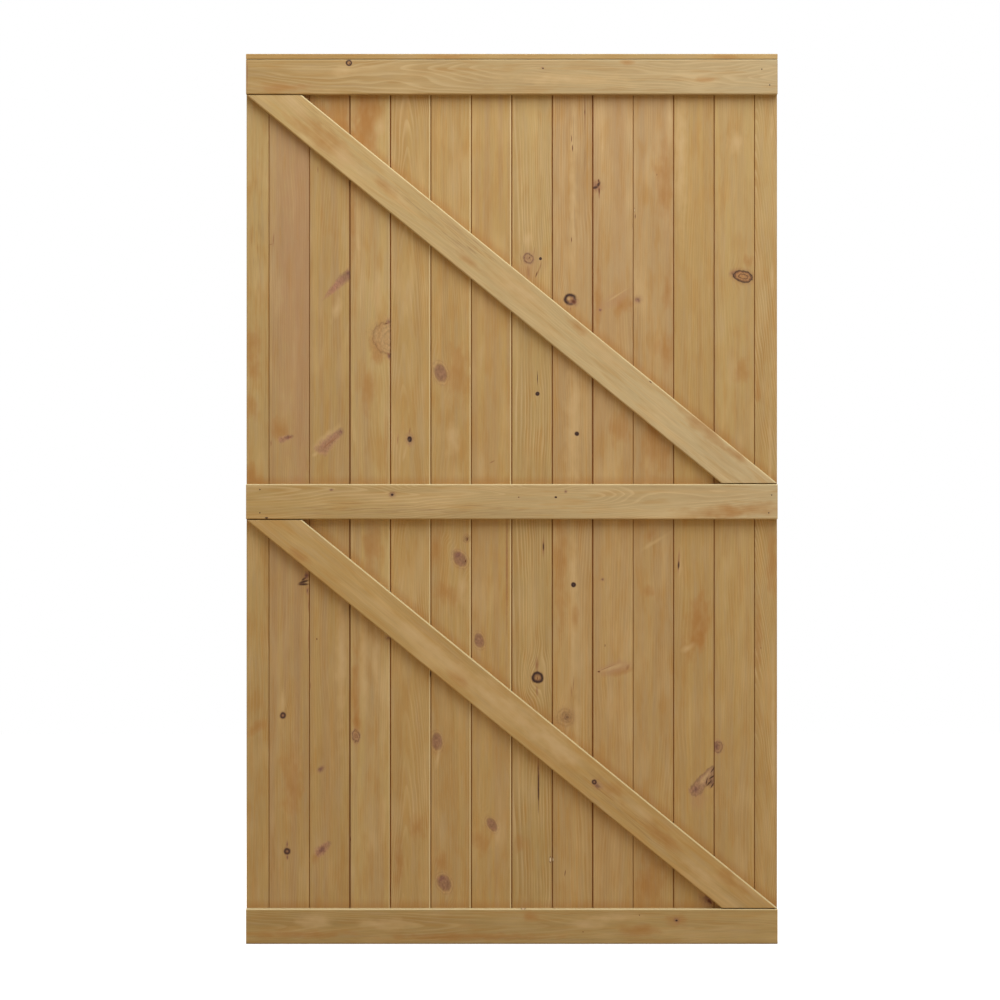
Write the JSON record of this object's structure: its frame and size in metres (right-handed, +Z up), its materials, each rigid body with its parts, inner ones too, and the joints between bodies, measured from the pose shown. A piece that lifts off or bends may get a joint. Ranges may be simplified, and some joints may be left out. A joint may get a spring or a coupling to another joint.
{
  "type": "ledged and braced garden gate leaf",
  "caption": "Ledged and braced wooden garden gate leaf of upright tongued and grooved boards, with ledges, a diagonal brace in each bay and a thin top capping, ready to take hinges and a latch.",
  "frame": {"origin": "On the hanging edge (the closed edge that faces +X), at the foot of the leaf and in the middle of the thickness of its edge board.", "axes": "+Z up from the foot to the capping. The leaf runs from the hanging edge towards -X, so its closing edge is at x = -1.075. -Y looks out of the ledged side, which carries the ledges and braces. +Y looks out of the plain boarded side, which has the vee joints."},
  "size_m": [1.075, 0.036, 1.8],
  "materials": {
    "boards": "matte",
    "ledges": "matte",
    "braces": "matte",
    "capping": "matte",
    "pins": "satin"
  },
  "bodies": {
    "root": {"board_01": "boards", "board_02": "boards", "board_03": "boards", "board_04": "boards", "board_05": "boards", "board_06": "boards", "board_07": "boards", "board_08": "boards", "board_09": "boards", "board_10": "boards", "board_11": "boards", "board_12": "boards", "board_13": "boards", "board_14": "boards", "bottom_ledge": "ledges", "middle_ledge": "ledges", "top_ledge": "ledges", "lower_brace": "braces", "upper_brace": "braces", "top_capping": "capping"}
  },
  "joints": []
}
